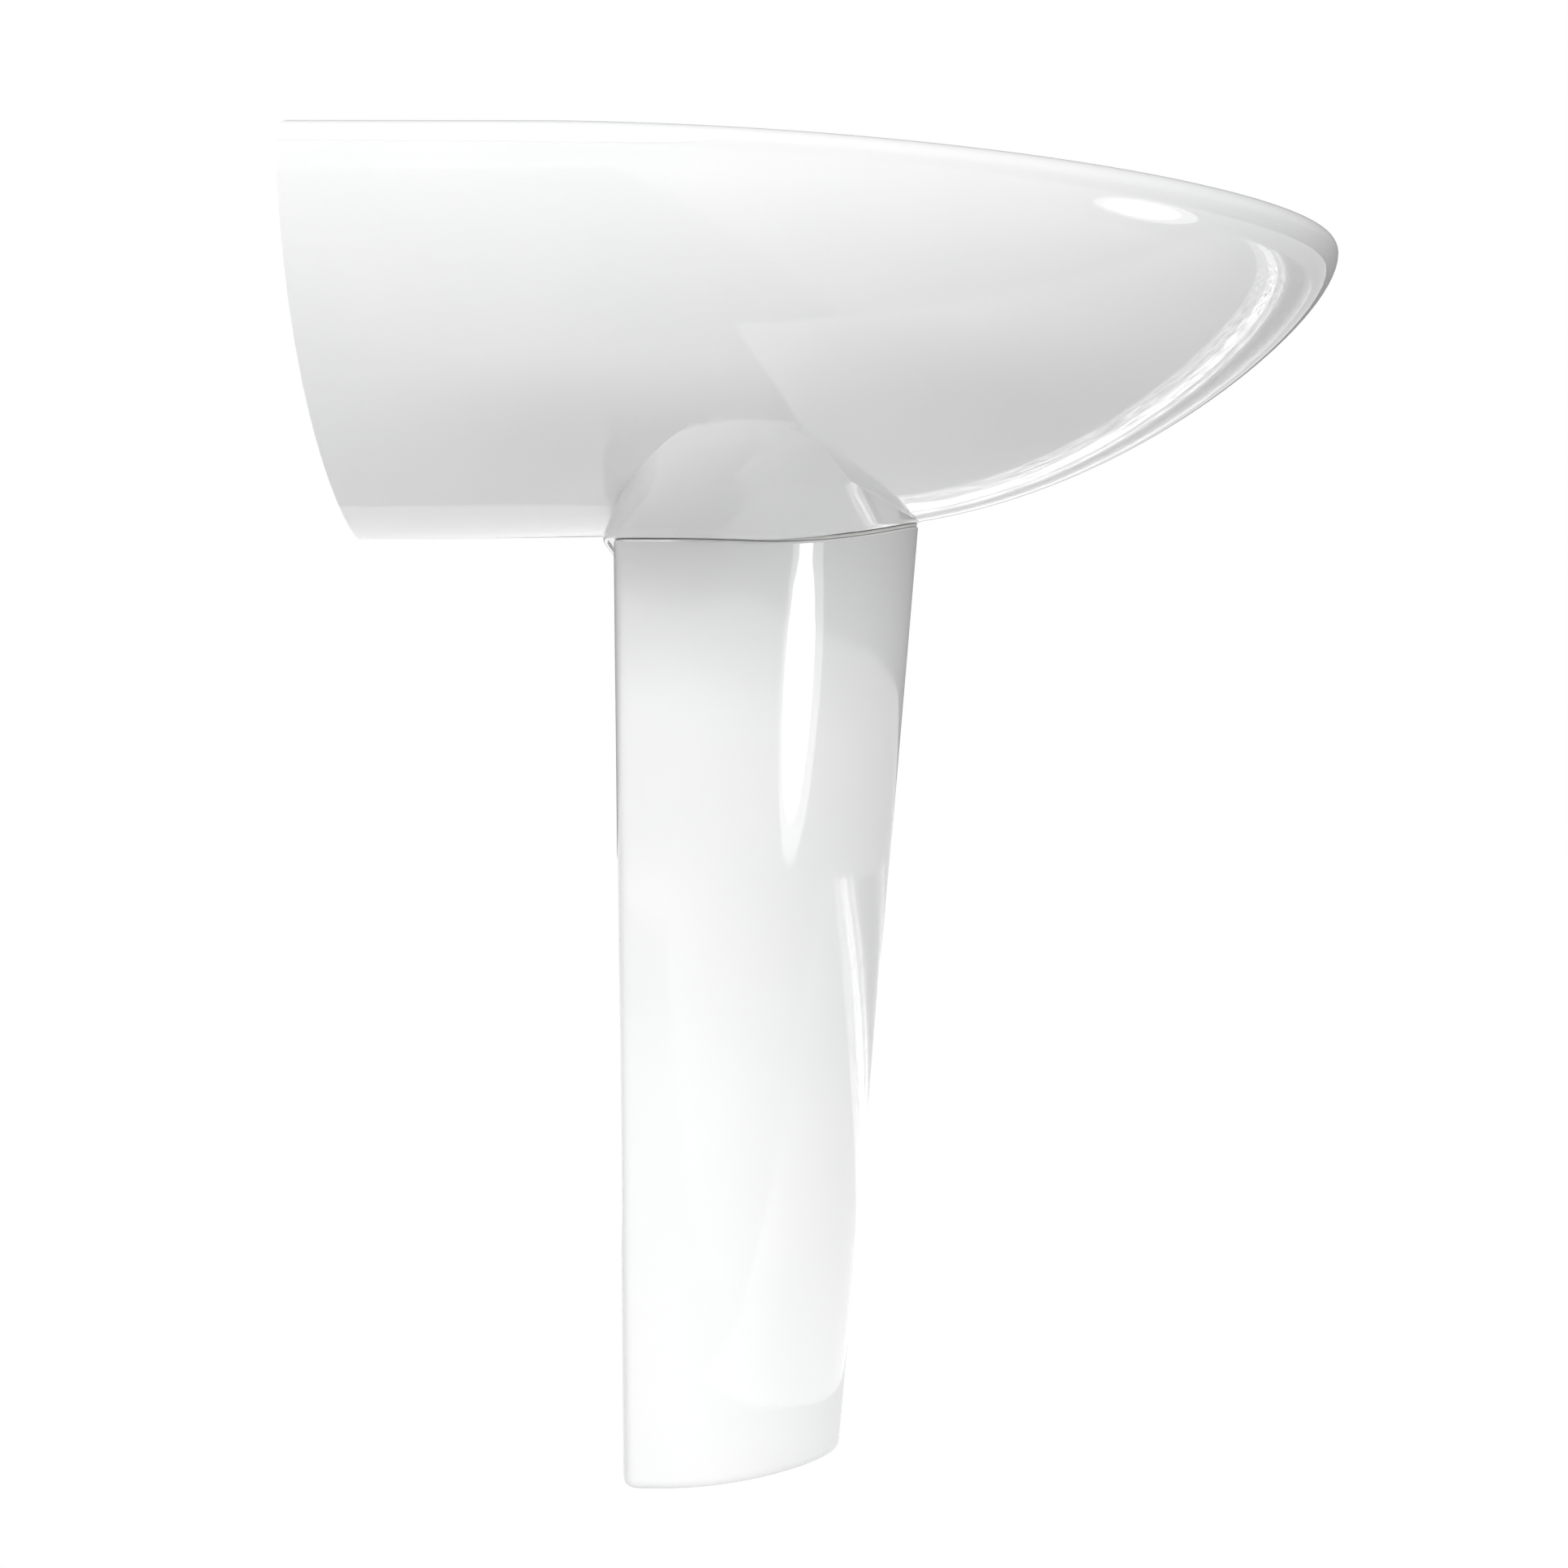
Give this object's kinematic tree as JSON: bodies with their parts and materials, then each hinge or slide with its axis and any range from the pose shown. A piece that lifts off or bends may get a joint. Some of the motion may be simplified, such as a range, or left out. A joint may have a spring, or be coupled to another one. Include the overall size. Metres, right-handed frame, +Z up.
{
  "type": "pedestal sink",
  "caption": "Vitreous china wash basin with a pointed, boat-shaped bowl on a leaning shield-shaped pedestal, with sprung plug, waste, bottle trap and floor pipe.",
  "frame": {"origin": "on the floor, under the middle of the basin's width and depth", "axes": "+Z up; +Y towards the wall behind the sink; +X to the right of someone who stands in front of the basin and faces the wall"},
  "size_m": [0.598, 0.64, 0.8],
  "materials": {
    "glazed_white": "white glaze, high gloss",
    "white_silicone": "satin white silicone",
    "black_rubber": "matt black",
    "chrome": "polished chrome plate",
    "stainless_steel": "plain drawn steel",
    "white_plastic": "satin white polypropylene"
  },
  "bodies": {
    "sink": {"basin": "glazed_white", "pedestal": "glazed_white", "collar_seal": "white_silicone", "overflow_ring": "chrome", "waste_body": "chrome", "waste_flange_gasket": "black_rubber", "waste_lower_gasket": "black_rubber", "waste_washer": "stainless_steel", "waste_backnut": "chrome", "plug_guide": "white_plastic", "plug_spring": "stainless_steel", "inlet_pipe": "chrome", "inlet_washer": "black_rubber", "inlet_nut": "chrome", "trap_body": "chrome", "trap_top_washer": "black_rubber", "trap_top_nut": "chrome", "trap_cup": "chrome", "trap_cup_seal": "black_rubber", "outlet_washer": "black_rubber", "outlet_nut": "chrome", "outlet_bend": "white_plastic", "floor_pipe": "white_plastic", "floor_rosette": "chrome"},
    "plug": {"plug_cap": "chrome", "plug_seal": "black_rubber", "plug_stem": "stainless_steel"}
  },
  "joints": [
    {"name": "plug_press", "type": "slide", "parent": "sink", "child": "plug", "axis": [0, 0, 1], "range_m": [-0.008, 0], "stiffness_N_per_m": 600, "springref_m": 0.02, "deforming": ["plug_spring"]}
  ]
}
